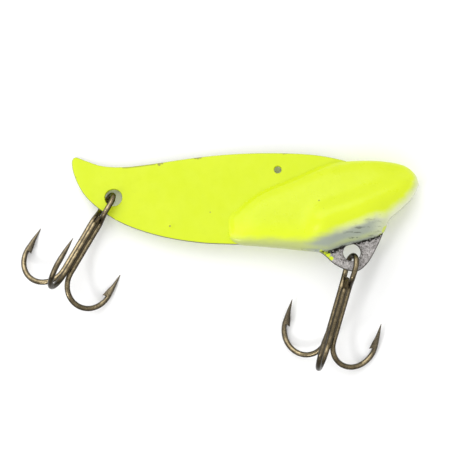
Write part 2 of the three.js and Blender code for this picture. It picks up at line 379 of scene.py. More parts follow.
def flat_grid(loop, rim):
    """Staggered points that fill the blade's flat face, clear of its rim and its holes."""
    low, high = loop.min(0), loop.max(0)
    pitch = BLADE_GRID * ROW_PITCH
    grid = []
    for row in range(math.ceil((high[1] - low[1]) / pitch)):
        shift = 0.5 * BLADE_GRID * (row % 2)
        grid += [(x + shift, low[1] + row * pitch) for x in np.arange(low[0], high[0], BLADE_GRID)]
    for k in range(1, PIMPLE_RINGS + 1):
        grid += ring(PIMPLE[0], PIMPLE_RING_STEP * k, PIMPLE_SIDES + 4 * k).tolist()
    grid = np.array(grid)
    keep = inside(grid, rim) & (distance_to_line(grid, np.vstack([rim, rim[:1]])) > RIM_CLEARANCE)
    for centre, radius in HOLES:
        keep &= np.linalg.norm(grid - centre, axis=1) > radius + HOLE_CLEARANCE
    return grid[keep]


def fill_flat(rims, grid):
    """Triangles of the flat face, numbered through the rims in turn and then the grid."""
    edges, start = [], 0
    for rim in rims:
        count = len(rim)
        edges += [(start + i, start + (i + 1) % count) for i in range(count)]
        start += count
    points = [Vector(p) for p in np.vstack([*rims, grid])]
    placed, _, triangles, origins, _, _ = delaunay_2d_cdt(points, edges, [], 0, TINY)
    triangles = np.array(triangles)
    centres = np.array([tuple(v) for v in placed])[triangles].mean(1)
    good = inside(centres, rims[0])
    for centre, radius in HOLES:
        good &= np.linalg.norm(centres - centre, axis=1) > radius + HOLE_ROUND[-1][0] - HOLE_SLACK
    origin = np.array([ids[0] if ids else -1 for ids in origins])
    return origin[triangles[good]]


def blade_shell(loop, inward):
    """The plate with rounded edges and three holes, flat and unworn."""
    edge = [(loop + inward * offset, z) for offset, z in EDGE_ROUND]
    outlines = [edge]
    for centre, radius in HOLES:
        sides = LINE_TIE_SIDES if radius == LINE_TIE_RADIUS else HOOK_HOLE_SIDES
        outlines.append([(ring(centre, radius + offset, sides), z) for offset, z in HOLE_ROUND])
    rims = [rounds[-1][0] for rounds in outlines]
    grid = flat_grid(loop, rims[0])
    triangles = fill_flat(rims, grid)
    shell = Shell()
    outermost = {}
    for side in (1, -1):
        owner, outermost[side] = [], []
        for rounds in outlines:
            count = len(rounds[0][0])
            first = [shell.loop(xy, side * z) for xy, z in rounds]
            for a, b in zip(first, first[1:]):
                shell.bridge(a, b, count, (side > 0) == (rounds is edge))
            owner += range(first[-1], first[-1] + count)
            outermost[side].append((first[0], count))
        start = shell.loop(grid, side * BLADE_HALF)
        owner += range(start, start + len(grid))
        for triangle in triangles:
            face = tuple(owner[i] for i in triangle)
            shell.faces.append(face if side > 0 else face[::-1])
    for rounds, (a, count), (b, _) in zip(outlines, outermost[1], outermost[-1]):
        shell.bridge(a, b, count, rounds is not edge)
    return shell


def swell(v, place, size):
    """A bell curve round a place, from 0 to 1 at each vertex."""
    return np.exp(-((v[:, 0] - place[0]) ** 2 + (v[:, 1] - place[1]) ** 2) / (2 * size**2))


def make_blade():
    loop, inward = outline_loop()
    shell = blade_shell(loop, inward)
    v = np.array(shell.vertices)
    place, size, height = PIMPLE
    v[:, 2] += height * swell(v, place, size) * (v[:, 2] > 0.75 * BLADE_HALF)
    for place, size, height in DENTS:
        v[:, 2] += height * swell(v, place, size)
    flat = np.stack([v[:, 0], v[:, 1], np.zeros(len(v))], axis=1)
    v[:, 2] += WARP_HEIGHT * wobble(flat, WARP_SCALE, WARP_SEED) * (v[:, 0] < WARP_END)
    xy = v[:, :2]
    return piece(
        "blade_plate", v.tolist(), shell.faces, "lure_body", "blade",
        {
            "rim": distance_to_line(xy, np.vstack([loop, loop[:1]])[::2]),
            "lead": distance_to_line(xy, LEAD_RIM[::4]),
            "hole": np.min([np.abs(np.linalg.norm(xy - c, axis=1) - r) for c, r in HOLES], axis=0),
            "tab": smoothstep(v[:, 0], *TAB_STARTS_X) * smoothstep(-v[:, 1], *TAB_STARTS_DOWN),
        },
        smooth_angle=40,
    )


# ---- lead weight ----

def lead_height(xy):
    """Height of a cheek over the mid-plane, before it is softened."""
    rim = distance_to_line(xy, LEAD_RIM[::3])
    from_back = distance_to_line(xy, LEAD_BACK_LINE[::4])
    from_belly = distance_to_line(xy, LEAD_BELLY_LINE[::4])
    across = from_back / np.maximum(from_back + from_belly, TINY)
    nose = smoothstep(xy[:, 0], *NOSE_STARTS_X)
    flank_width = BACK_WIDTH + (BELLY_WIDTH - BACK_WIDTH) * smoothstep(across, *BELLY_WIDENS)
    width = flank_width + (NOSE_WIDTH - flank_width) * nose
    soft = 1 - np.exp(-RISE_RATE * rim / width)
    rounded = np.sqrt(soft)
    roundness = np.maximum(nose, smoothstep(across, *BELLY_ROUNDS))
    fillet = FOOT_SHARE + (1 - FOOT_SHARE) * smoothstep(rim, 0, FOOT_WIDTH)
    edge = soft * fillet + (rounded - soft * fillet) * roundness
    crest = distance_to_line(xy, np.array([LEAD_BULGE_START, LEAD_BULGE_END]))
    fall = np.clip(crest / LEAD_BULGE_REACH, 0, 1)
    bulge = (1 + np.cos(math.pi * fall**LEAD_BULGE_POWER)) / 2
    rear = REAR_END_HEIGHT + (1 - REAR_END_HEIGHT) * smoothstep(xy[:, 0], *REAR_END_X)
    return edge * rear * (LEAD_LOBE_HEIGHT + LEAD_BULGE_HEIGHT * bulge)


def blur(grid, sigma):
    """Gaussian blur of a grid, sigma in cells, along both directions."""
    reach = int(3 * sigma)
    kernel = np.exp(-np.arange(-reach, reach + 1) ** 2 / (2 * sigma**2))
    kernel /= kernel.sum()
    for axis in (0, 1):
        grid = np.apply_along_axis(lambda row: np.convolve(row, kernel, "same"), axis, grid)
    return grid


def lead_relief():
    """The softened height of a cheek, as a function of points in the plane."""
    low, high = LEAD_RIM.min(0) - RELIEF_MARGIN, LEAD_RIM.max(0) + RELIEF_MARGIN
    xs, ys = (np.arange(low[k], high[k], RELIEF_STEP) for k in (0, 1))
    points = np.stack(np.meshgrid(xs, ys, indexing="ij"), axis=-1).reshape(-1, 2)
    mask = inside(points, LEAD_RIM).astype(float)
    shape = (len(xs), len(ys))
    raw = (lead_height(points) * mask).reshape(shape)
    sigma = RELIEF_BLUR / RELIEF_STEP
    soft = blur(raw, sigma) / np.maximum(blur(mask.reshape(shape), sigma), 1e-3)

    def look_up(xy):
        u = (xy - low) / RELIEF_STEP
        i = np.clip(u.astype(int), 0, np.array(shape) - 2)
        fx, fy = (u - i).T
        a, b = soft[i[:, 0], i[:, 1]], soft[i[:, 0] + 1, i[:, 1]]
        c, d = soft[i[:, 0], i[:, 1] + 1], soft[i[:, 0] + 1, i[:, 1] + 1]
        smooth = (a * (1 - fx) + b * fx) * (1 - fy) + (c * (1 - fx) + d * fx) * fy
        rim = distance_to_line(xy, LEAD_RIM[::2])
        share = smoothstep(rim, *RELIEF_FROM_RIM)
        return lead_height(xy) * (1 - share) + smooth * share, rim

    return look_up


def make_lead():
    along = np.arange(LEAD_ROWS + 1) / LEAD_ROWS
    station = along / 2 + (1 - np.cos(math.pi * along)) / 4
    back = resample(LEAD_BACK_LINE, station * lengths(LEAD_BACK_LINE)[-1])
    belly = resample(LEAD_BELLY_LINE, station * lengths(LEAD_BELLY_LINE)[-1])
    half = LEAD_COLUMNS // 2
    share = (1 - np.cos(math.pi * np.arange(half) / half)) / 2
    across = np.concatenate([share, 1 - share])
    side = np.repeat([-1, 1], half)
    relief_at = lead_relief()
    rows = []
    for start, end in zip(back, belly):
        xy = start + (end - start) * across[:, None]
        height, rim = relief_at(xy)
        corner = 1 - (1 - np.clip(rim / LEAD_LAND_ROUND, 0, 1)) ** 2
        z = side * (LEAD_LAND * corner**0.5 + height * LEAD_RISE)
        rows.append(np.column_stack([xy, z]))
    rows[0][:, 2] = rows[-1][:, 2] = 0
    v = np.concatenate(rows)
    relief = sum(size * wobble(v, scale, seed) for size, scale, seed in SWELLS)
    v[:, 2] += np.sign(v[:, 2]) * relief * smoothstep(np.abs(v[:, 2]), *SWELLS_FROM_PLANE)
    v, faces = weld_ends(v, LEAD_COLUMNS)
    return piece(
        "lead_head", v.tolist(), faces, "lure_body", "lead_weight",
        {"rim": distance_to_line(v[:, :2], LEAD_RIM[::3]), "fade": belly_fade(v)},
        smooth_angle=60,
    )


def weld_ends(v, columns):
    """Closes a loft of rows: the first and the last row become one vertex each."""
    index = np.arange(len(v))
    index[:columns] = 0
    index[-columns:] = len(v) - columns
    used = np.unique(index)
    lookup = {old: new for new, old in enumerate(used)}
    faces = []
    for quad in tube_faces(len(v) // columns, columns)[:-2]:
        ids = list(dict.fromkeys(lookup[index[i]] for i in quad))
        if len(ids) > 2:
            faces.append(tuple(ids))
    return v[used], faces


def seen_from_above(v):
    """Plan position of a point of either flank when its own flank is up, from the line tie."""
    mirrored = np.array(v)
    mirrored[:, 2] = np.abs(mirrored[:, 2])
    turned = np.array([LURE @ Vector(p) - LINE_TIE for p in mirrored]) / MM
    return turned[:, :2]


def belly_fade(v):
    """Signed distance below the edge of the white belly: positive inside the white."""
    plan = seen_from_above(v)
    distance = distance_to_line(plan, FADE_EDGE)
    return np.where(inside(plan, np.vstack([FADE_EDGE, FADE_CLOSING])), distance, -distance)


# ---- treble hooks: drawn along X from the eye, then turned into the lure's frame ----

def outward(degrees):
    return np.array((0, math.sin(math.radians(degrees)), math.cos(math.radians(degrees))))


def at(x, radius, degrees):
    return np.array((x, 0, 0)) + outward(degrees) * radius


def hook_line(degrees, start):
    """A shank, its bend and its point, on the side of the treble that degrees gives."""
    run = BEND_CENTRE - BEND_LEAD_IN - start
    line = [at(start + run * i / 4, SHANK_OFFSET, degrees) for i in range(5)]
    for angle in range(0, 181, 15):
        a = math.radians(angle)
        radius = SHANK_OFFSET + BEND_RADIUS * (1 - math.cos(a))
        line.append(at(BEND_CENTRE + BEND_RADIUS * math.sin(a), radius, degrees))
    foot, tip = line[-1], at(POINT_X, POINT_OFFSET, degrees)
    for share in (0.25, 0.5, 0.75, 1):
        line.append(foot + (tip - foot) * share)
    return line


def eye_line(twist):
    """The eye, from where one side of it meets its shank round to the other side."""
    side = outward(twist)
    end = np.array((EYE_RADIUS + EYE_STRAIGHT, 0, 0))
    line = [end + side * EYE_RADIUS * EYE_CLOSING]
    for angle in range(90, -91, -30):
        a = math.radians(angle)
        along = np.array((EYE_RADIUS * (1 - math.cos(a)), 0, 0))
        line.append(along + side * EYE_RADIUS * math.sin(a))
    line.append(end - side * EYE_RADIUS * EYE_CLOSING)
    return line


def wire_places(total, tips):
    """Distances along a wire: close together near its points."""
    places = list(np.arange(0, total, WIRE_STEP)) + [total]
    near_tip = np.arange(0, POINT_REACH, POINT_STEP)
    if tips[0]:
        places = [s for s in places if s > POINT_REACH] + list(near_tip)
    if tips[1]:
        places = [s for s in places if s < total - POINT_REACH] + list(total - near_tip)
    return np.array(sorted(places))


def toward_axis(p):
    """From a point of a hook toward the treble's axis."""
    away = np.array((0, -p[1], -p[2]))
    length = np.linalg.norm(away)
    return away / length if length > TINY else np.array((0, 0, 1.0))


def across_wire(direction, tangent):
    """The part of a direction that is square to the wire."""
    across = direction - tangent * (direction @ tangent)
    length = np.linalg.norm(across)
    return across / length if length > TINY else across


def end_distance(s, total, at_start, at_end):
    """Distance along the wire to the nearer of the ends that are marked."""
    return min(s if at_start else FAR, total - s if at_end else FAR)


def wire_share(from_tip, from_cut):
    """The wire's radius, as a share of the full one, near a point or a cut end."""
    share = np.interp(from_tip, POINT_TAPER[:, 0], POINT_TAPER[:, 1])
    if from_cut < CUT_ROUND:
        corner = math.sqrt(1 - (1 - from_cut / CUT_ROUND) ** 2)
        share *= CUT_SHARE + (1 - CUT_SHARE) * corner
    return share


def barb_shift(direction, inner, ahead, from_tip):
    """How far the barb, or the cut behind it, moves a vertex of the wire."""
    out = np.interp(from_tip, BARB_OUT[:, 0], BARB_OUT[:, 1])
    facing = max(0.0, direction @ inner)
    shift = inner * out * facing ** (BARB_RIDGE if out > 0 else BARB_CUT_RIDGE)
    if BARB_HEEL[0] < from_tip < BARB_HEEL[1]:
        drawn = (from_tip - BARB_HEEL[0]) / BARB_HEEL_RUN
        shift = shift - ahead * BARB_HEEL_BACK * facing**BARB_RIDGE * drawn
    return shift


def tube(line, tips, seed):
    """Wire swept along a line, with a point and a barb at each end that tips marks.
    Gives vertices, faces, each vertex's distance from the tip and its direction outward."""
    total = lengths(line)[-1]
    places = wire_places(total, tips)
    centre = resample(line, places)
    tangent = resample(line, np.minimum(places + AHEAD, total))
    tangent -= resample(line, np.maximum(places - AHEAD, 0))
    tangent /= np.linalg.norm(tangent, axis=1)[:, None]
    normal = across_wire(toward_axis(centre[0]), tangent[0])
    vertices, tip_distance, outwards = [], [], []
    for s, middle, along in zip(places, centre, tangent):
        normal = across_wire(normal, along)
        side = np.cross(along, normal)
        from_tip = end_distance(s, total, *tips)
        share = wire_share(from_tip, end_distance(s, total, not tips[0], not tips[1]))
        ahead = -along if tips[0] and s < total / 2 else along
        inner = across_wire(toward_axis(middle), along)
        for k in range(WIRE_FACES):
            a = 2 * math.pi * k / WIRE_FACES
            direction = normal * math.cos(a) + side * math.sin(a)
            shift = barb_shift(direction, inner, ahead, from_tip)
            vertices.append(middle + direction * WIRE_RADIUS * share + shift)
            outwards.append(direction)
            tip_distance.append(from_tip)
    v = np.array(vertices)
    middles = np.repeat(centre, WIRE_FACES, axis=0)
    waver = 1 + DRAWN_WAVER * wobble(v, DRAWN_WAVER_SCALE, seed)
    v = middles + (v - middles) * waver[:, None]
    return v, tube_faces(len(places), WIRE_FACES), np.array(tip_distance), np.array(outwards)


def braze(twist, web, seed):
    """The brass that holds the shanks together, drawn out to a web in the throat of the eye."""
    last = BEND_CENTRE - BRAZE_STOPS_SHORT
    places = np.linspace(web, last, BRAZE_ROWS)
    end = BRAZE_END + (1 - BRAZE_END) * np.clip(last - places, 0, 1) ** 0.5
    down = places - web
    wide = np.interp(down, BRAZE_PROFILE[:, 0], BRAZE_PROFILE[:, 1]) * end
    thick = np.interp(down, BRAZE_PROFILE[:, 0], BRAZE_PROFILE[:, 2]) * end
    along, over = outward(twist), outward(twist + 90)
    vertices = []
    for x, w, t in zip(places, wide, thick):
        for k in range(BRAZE_SIDES):
            a = 2 * math.pi * k / BRAZE_SIDES
            spot = (BRAZE_LUMPS_ALONG * x, 2 * math.cos(a), 2 * math.sin(a) + 11 * seed)
            lump = noise.noise(Vector(spot))
            reach = along * w * math.cos(a) + over * t * math.sin(a)
            vertices.append(np.array((x, 0, 0)) + (1 + BRAZE_LUMPS * lump) * reach)
    return np.array(vertices), tube_faces(BRAZE_ROWS, BRAZE_SIDES)


def make_treble(name, spec, seed):
    turn = (
        Matrix.Translation(spec["at"])
        @ Matrix.Rotation(math.radians(spec["swing"]), 4, "Z")
        @ Matrix.Rotation(math.radians(spec["lean"]), 4, "Y")
        @ Matrix.Rotation(math.radians(spec["roll"]), 4, "X")
    )

    def add(key, suffix, replaces, v, faces, tip, painted_light_facing):
        return piece(
            f"{name}_{key}{suffix}", [tuple(turn @ Vector(p)) for p in v], faces, name,
            replaces, {"tip": tip, "painted_light_facing": painted_light_facing}, smooth_angle=50,
        )

    right = hook_line(RIGHT_HOOK, SHANK_START)
    left = hook_line(LEFT_HOOK, SHANK_START)
    wires = {
        "double_wire": (right[::-1] + eye_line(spec["eye"]) + left, (True, True)),
        "single_wire": (hook_line(0, SINGLE_START), (False, True)),
    }
    made = []
    for count, (key, (line, tips)) in enumerate(wires.items()):
        v, faces, tip, outwards = tube(spline(line, False, WIRE_CURVE_STEPS), tips, seed + count)
        # how squarely each face of the wire looks along the blade's normal, from which the bronze
        # paints light and shade
        painted_light_facing = [abs((turn.to_3x3() @ Vector(d)).z) for d in outwards]
        made.append(add(key, "_bronze", f"{name}_{key}", v, faces, tip, painted_light_facing))
    v, faces = braze(spec["eye"], spec["web"], seed)
    tip, painted_light_facing = np.full(len(v), BRAZE_FROM_TIP), np.full(len(v), BRAZE_PAINTED_LIGHT_FACING)
    made.append(add("braze", "", None, v, faces, tip, painted_light_facing))
    return made


# ---- materials ----

class Nodes:
    """Short ways to add nodes to a material."""

    def __init__(self, name):
        self.material = bpy.data.materials.new(name)
        self.material.use_nodes = True
        self.tree = self.material.node_tree
        self.tree.nodes.clear()
        self.out = self.tree.nodes.new("ShaderNodeOutputMaterial")
        self.shader = self.tree.nodes.new("ShaderNodeBsdfPrincipled")
        self.link(self.shader.outputs[0], self.out.inputs[0])

    def link(self, a, b):
        self.tree.links.new(a, b)

    def put(self, value, socket):
        if isinstance(value, bpy.types.NodeSocket):
            self.link(value, socket)
        elif isinstance(value, tuple) and socket.type == "RGBA":
            socket.default_value = (*value, 1)
        else:
            socket.default_value = value

    def attribute(self, name, output="Fac"):
        node = self.tree.nodes.new("ShaderNodeAttribute")
        node.attribute_name = name
        return node.outputs[output]

    def place(self):
        """X, Y and Z in the lure's frame."""
        node = self.tree.nodes.new("ShaderNodeSeparateXYZ")
        self.link(self.attribute("local", "Vector"), node.inputs[0])
        return node.outputs

    def noise(self, scale, detail=3, rough=0.5, stretch=None):
        vector = self.attribute("local", "Vector")
        if stretch:
            scaled = self.tree.nodes.new("ShaderNodeMapping")
            scaled.inputs["Scale"].default_value = stretch
            self.link(vector, scaled.inputs["Vector"])
            vector = scaled.outputs[0]
        node = self.tree.nodes.new("ShaderNodeTexNoise")
        self.link(vector, node.inputs["Vector"])
        for key, number in (("Scale", scale), ("Detail", detail), ("Roughness", rough)):
            node.inputs[key].default_value = number
        return node.outputs["Fac"]

    def math(self, operation, a, b=0.0, clamp=False):
        node = self.tree.nodes.new("ShaderNodeMath")
        node.operation = operation
        node.use_clamp = clamp
        self.put(a, node.inputs[0])
        self.put(b, node.inputs[1])
        return node.outputs[0]

    def plus(self, a, b, clamp=False):
        return self.math("ADD", a, b, clamp)

    def minus(self, a, b):
        return self.math("SUBTRACT", a, b)

    def times(self, a, b, clamp=False):
        return self.math("MULTIPLY", a, b, clamp)

    def larger(self, a, b, clamp=False):
        return self.math("MAXIMUM", a, b, clamp)

    def ramp(self, value, low, high, to_low=0.0, to_high=1.0):
        """Value from low..high, smoothly to to_low..to_high."""
        node = self.tree.nodes.new("ShaderNodeMapRange")
        node.interpolation_type = "SMOOTHSTEP"
        self.put(value, node.inputs["Value"])
        limits = {"From Min": low, "From Max": high, "To Min": to_low, "To Max": to_high}
        for key, number in limits.items():
            node.inputs[key].default_value = number
        return node.outputs[0]

    def mix(self, factor, a, b):
        """Colour a where the factor is 0 and b where it is 1."""
        node = self.tree.nodes.new("ShaderNodeMix")
        node.data_type = "RGBA"
        self.put(factor, node.inputs["Factor"])
        # colour sockets share their names with the node's other kinds, so they go by number
        self.put(a, node.inputs[6])
        self.put(b, node.inputs[7])
        return node.outputs[2]

    def bump(self, height, distance, strength, under=None):
        node = self.tree.nodes.new("ShaderNodeBump")
        node.inputs["Strength"].default_value = strength
        node.inputs["Distance"].default_value = distance * MM
        self.link(height, node.inputs["Height"])
        if under is not None:
            self.link(under, node.inputs["Normal"])
        return node.outputs[0]

    def spots(self, places, raggedness):
        """1 inside small ragged spots, each a place in the lure's frame and a radius."""
        total = None
        ragged = self.times(self.noise(3.0, 3, 0.6), raggedness)
        for place, radius in places:
            node = self.tree.nodes.new("ShaderNodeVectorMath")
            node.operation = "DISTANCE"
            self.link(self.attribute("local", "Vector"), node.inputs[0])
            node.inputs[1].default_value = place
            edge = radius + raggedness * 0.5
            wavy = self.plus(node.outputs["Value"], ragged)
            spot = self.ramp(wavy, edge, edge + SPOT_BLUR, 1.0, 0.0)
            total = spot if total is None else self.larger(total, spot)
        return total


CHARTREUSE = (0.555, 0.672, 0.005)
CHARTREUSE_DEEP = (0.524, 0.64, 0.0035)
CHARTREUSE_PALE = (0.575, 0.686, 0.010)
# painted light: a brighter chartreuse for the casting's lower slopes
CHARTREUSE_PAINTED_LIGHT = (0.625, 0.742, 0.012)
PRIMER_WHITE = (0.70, 0.74, 0.48)
PRIMER_GREEN = (0.40, 0.45, 0.16)
LIP_GREEN = (0.47, 0.53, 0.17)
# partly silver paint, partly painted shade of the belly slope
BELLY_GREY_AND_SHADE = (0.285, 0.32, 0.26)
SCRATCH_GREY = (0.10, 0.11, 0.08)
CRACK_BLACK = (0.022, 0.02, 0.012)
TAB_CRACK_BLACK = (0.012, 0.011, 0.008)
TAB_OUTLINE = (0.03, 0.027, 0.025)
CHIP_BROWN = (0.10, 0.085, 0.035)
CHIP_OLIVE = (0.30, 0.30, 0.06)
EDGE_METAL = (0.13, 0.125, 0.085)
EDGE_OLIVE = (0.26, 0.29, 0.02)
BARE_METAL = (0.39, 0.37, 0.36)
TAB_DARK = (0.20, 0.187, 0.18)
TAB_BRIGHT = (0.56, 0.535, 0.52)
TAB_POCK = (0.085, 0.078, 0.07)
# painted highlight colour for the top of the wires
BRONZE_PAINTED_HIGHLIGHT = (0.52, 0.42, 0.25)
BRONZE_SOOT = (0.03, 0.024, 0.014)
BRONZE_TIP = (0.085, 0.075, 0.06)
PAINT_SPECULAR = 0.33
SPOT_BLUR = 0.12

# spots: a place in the lure's frame and a radius
PLATE_CHIPS = [
    ((-19.75, -10.44, 0.5), 0.1), ((-12.4, -7.9, 0.4), 0.04), ((-21.8, 1.25, 0.3), 0.26),
    ((-21.3, 1.45, 0.3), 0.2), ((-14.7, 2.35, 0.3), 0.22), ((-14.2, 2.4, 0.3), 0.16),
    ((-15.2, 2.3, 0.3), 0.14),
]
PAINT_LEFT_ON_TAB = [
    ((8.2, -15.2, 0.4), 0.8), ((8.9, -16.0, 0.4), 0.5), ((9.6, -16.7, 0.4), 0.35),
    ((19.0, -11.6, 0.4), 0.5),
]
DARK_BACK_STRETCH_SPOT = [((-25.5, 0.9, 0.3), 3.0)]
LIP_ENDS = [
    ((7.9, -15.0, 0.6), 0.5), ((19.2, -11.4, 0.6), 0.8), ((18.2, -12.0, 0.6), 0.5),
    ((17.2, -12.5, 0.6), 0.3),
]
HEAD_CHIPS = [
    ((5.6, -1.4, 1.2), 0.09), ((7.5, -6.5, 2.9), 0.09), ((17.7, -2.1, 3.2), 0.08),
    ((22.8, -3.2, 2.9), 0.1),
]

# ramps: from low, from high and, where they don't run from 0 to 1, to low, to high;
# noise runs from 0 to 1, and the rest is in millimetres
CLOUDS = (0.35, 0.65)
MOTTLING = (0.45, 0.75, 0.0, 0.35)
CHIP_REACH = (0.56, 0.72, 0.05, 0.42)
CHIP_SIDE = (-0.03, 0.05, 1.0, 0.0)
CHIP_STRETCHES = (0.5, 0.6)
TAB_MOTTLING = (0.43, 0.54)
TAB_FLAKES = (0.5, 0.58, 0.0, 0.8)
TAB_POCKS = (0.565, 0.6, 0.0, 0.85)
STAIN_REACH = (0.45, 0.6, 0.0, 0.5)
STAIN_SIDE = (-0.05, 0.12, 0.75, 0.0)
PAINTED_SHADE_BY_CASTING = (0.0, 2.4, 0.2, 0.0)
PLATE_SPECKS = (0.755, 0.78, 0.0, 0.5)
TAB_CRACK_REACH = (0.4, 0.62, 0.0, 0.62)
TAB_CRACK_SIDE = (0.0, 0.16, 1.0, 0.0)
SHEARED_EDGE = (0.02, 0.09, 1.0, 0.0)
SHEARED_STRETCHES = (0.32, 0.42)
DARK_BACK_STRETCH_SIDE = (0.1, 0.42, 0.8, 0.0)
TAB_OUTLINE_SIDE = (0.03, 0.2, 0.7, 0.0)
PLATE_ROUGHNESS = (0.3, 0.7, 0.42, 0.54)
HEAD_ROUGHNESS = (0.3, 0.7, 0.27, 0.36)
HEAD_SPECKS = (0.75, 0.775, 0.0, 0.4)
PAINTED_LIGHT_NEAR_BELLY = (-5.0, -0.8)
WHITE_FADE = (-1.3, 0.75)
WHITE_FROM_X = (7.5, 13.0)
GREY_AND_SHADE_FADE = (-0.8, 1.0)
GREY_AND_SHADE_FROM_X = (3.5, 7.5)
GREY_ENDS_X = (15.8, 21.2, 1.0, 0.0)
LIP_OUTER = (0.15, 0.4)
LIP_INNER = (0.55, 1.3, 1.0, 0.0)
LIP_PATCHES = (0.3, 0.7, 0.1, 0.5)
SCRATCHES = (0.565, 0.6, 0.0, 0.75)
SCRATCHES_FROM_X = (11.0, 13.5)
SEAM_REACH = (0.44, 0.64, 0.0, 0.36)
SEAM_SIDE = (-0.04, 0.05, 1.0, 0.0)
SEAM_IN_WHITE = (0.1, 0.6)
SEAM_OVER_TAB_X = (7.2, 8.2)
SEAM_AT_NOSE_X = (19.8, 20.6, 0.0, 0.6)
SEAM_WIDTH = (0.75, 1.1, 1.0, 0.0)
NOSE_SEAM_WIDTH = (0.12, 0.42, 1.0, 0.0)
# painted light and shade on the wires by their facing, then the painted highlight line
PAINTED_LIGHT_BY_FACING = (0.52, 0.98)
PAINTED_HIGHLIGHT_BY_FACING = (0.9, 1.06, 0.0, 0.75)
SOOT = (0.56, 0.68, 0.0, 0.7)
TIP_DARK = (2.5, 8.0, 0.6, 0.0)

# how much of the crack shows where the casting isn't over the tab or at the nose
FAINT_SEAM = 0.07
# how far noise moves the edge of the white, and how that noise and the scratches are drawn out
DRIFT = 0.9
DRIFT_STRETCH = (1.0, 2.4, 1.0)
SCRATCH_STRETCH = (0.5, 2.6, 1.0)


def paint_base(n):
    """Chartreuse with slow clouds and fine mottling."""
    colour = n.mix(n.ramp(n.noise(0.09, 3, 0.55), *CLOUDS), CHARTREUSE, CHARTREUSE_PALE)
    return n.mix(n.ramp(n.noise(0.8, 4, 0.6), *MOTTLING), colour, CHARTREUSE_DEEP)


def edge_chips(n, rim):
    """Chips along the plate's edge, where the paint has gone down to rusty metal."""
    reach = n.ramp(n.noise(1.1, 5, 0.65), *CHIP_REACH)
    chip = n.ramp(n.minus(rim, reach), *CHIP_SIDE)
    chip = n.times(chip, n.ramp(n.noise(0.35), *CHIP_STRETCHES))
    return n.larger(n.times(chip, 0.7), n.spots(PLATE_CHIPS, 0.3), True)


def tab_metal(n, pits, hole):
    """Bare plate: mottled, with dark pocks and a stained ring round the hole."""
    metal = n.mix(n.ramp(pits, *TAB_MOTTLING), TAB_DARK, BARE_METAL)
    metal = n.mix(n.ramp(n.noise(1.7, 5, 0.8), *TAB_FLAKES), metal, TAB_BRIGHT)
    metal = n.mix(n.ramp(n.noise(1.5, 5, 0.75), *TAB_POCKS), metal, TAB_POCK)
    stain = n.minus(hole, n.ramp(n.noise(2.0, 5, 0.75), *STAIN_REACH))
    return n.mix(n.ramp(stain, *STAIN_SIDE), metal, TAB_POCK)


def blade_material():
    n = Nodes("blade_paint_worn")
    rim, lead, hole, tab = (n.attribute(key) for key in ("rim", "lead", "hole", "tab"))
    # painted shade: the plate turns a deeper chartreuse in the corner next to the casting
    colour = n.mix(n.ramp(lead, *PAINTED_SHADE_BY_CASTING), paint_base(n), CHARTREUSE_DEEP)
    speck = n.ramp(n.noise(2.6, 2), *PLATE_SPECKS)
    colour = n.mix(speck, colour, CHIP_OLIVE)
    chip = edge_chips(n, rim)
    colour = n.mix(chip, colour, CHIP_OLIVE)
    bare = n.times(tab, n.minus(1.0, n.spots(PAINT_LEFT_ON_TAB, 0.5)), True)
    pits = n.noise(2.6, 6, 0.8)
    colour = n.mix(bare, colour, tab_metal(n, pits, hole))
    # the crack between the tab and the casting
    crack = n.minus(lead, n.ramp(n.noise(2.2, 5, 0.75), *TAB_CRACK_REACH))
    crack = n.times(tab, n.ramp(crack, *TAB_CRACK_SIDE))
    colour = n.mix(crack, colour, TAB_CRACK_BLACK)
    # the sheared edge, and the darker olive stretch of the back ahead of the tail
    cut = n.times(n.ramp(rim, *SHEARED_EDGE), n.ramp(n.noise(0.9, 4, 0.6), *SHEARED_STRETCHES))
    colour = n.mix(cut, colour, EDGE_METAL)
    dark_back_stretch = n.times(n.spots(DARK_BACK_STRETCH_SPOT, 0.6), n.ramp(rim, *DARK_BACK_STRETCH_SIDE))
    colour = n.mix(dark_back_stretch, colour, EDGE_OLIVE)
    to_edge = n.math("MINIMUM", rim, hole)
    colour = n.mix(n.times(tab, n.ramp(to_edge, *TAB_OUTLINE_SIDE)), colour, TAB_OUTLINE)
    n.put(colour, n.shader.inputs["Base Color"])
    n.shader.inputs["Specular IOR Level"].default_value = PAINT_SPECULAR
    unpainted = n.larger(chip, bare)
    rough = n.plus(n.ramp(n.noise(0.5), *PLATE_ROUGHNESS), n.times(unpainted, 0.2), True)
    n.put(rough, n.shader.inputs["Roughness"])
    n.put(n.times(bare, 0.55), n.shader.inputs["Metallic"])
    peel = n.bump(n.noise(1.3, 2, 0.4), 0.04, 0.5)
    worn = n.bump(n.minus(1.0, unpainted), 0.06, 0.6, peel)
    n.put(n.bump(n.times(pits, bare), 0.1, 0.7, worn), n.shader.inputs["Normal"])
    return n.material


def belly_paint(n, x, rim, off_nose, grey_and_shade):
    """The casting's underside: primer, grey that is partly silver paint and partly painted shade
    of the downward slope, chartreuse runs on the lower lip, scratches.
    """
    pale = n.mix(n.ramp(x, *WHITE_FROM_X), PRIMER_GREEN, PRIMER_WHITE)
    pale = n.mix(grey_and_shade, pale, BELLY_GREY_AND_SHADE)
    lip = n.times(n.ramp(rim, *LIP_OUTER), n.ramp(rim, *LIP_INNER))
    lip = n.times(lip, n.ramp(n.noise(0.35), *LIP_PATCHES))
    pale = n.mix(n.times(lip, off_nose), pale, LIP_GREEN)
    pale = n.mix(n.times(n.spots(LIP_ENDS, 0.9), 0.85), pale, CHARTREUSE)
    scratch = n.ramp(n.noise(0.9, 4, 0.7, SCRATCH_STRETCH), *SCRATCHES)
    scratch = n.times(scratch, n.times(grey_and_shade, n.ramp(x, *SCRATCHES_FROM_X)))
    return n.mix(scratch, pale, SCRATCH_GREY)


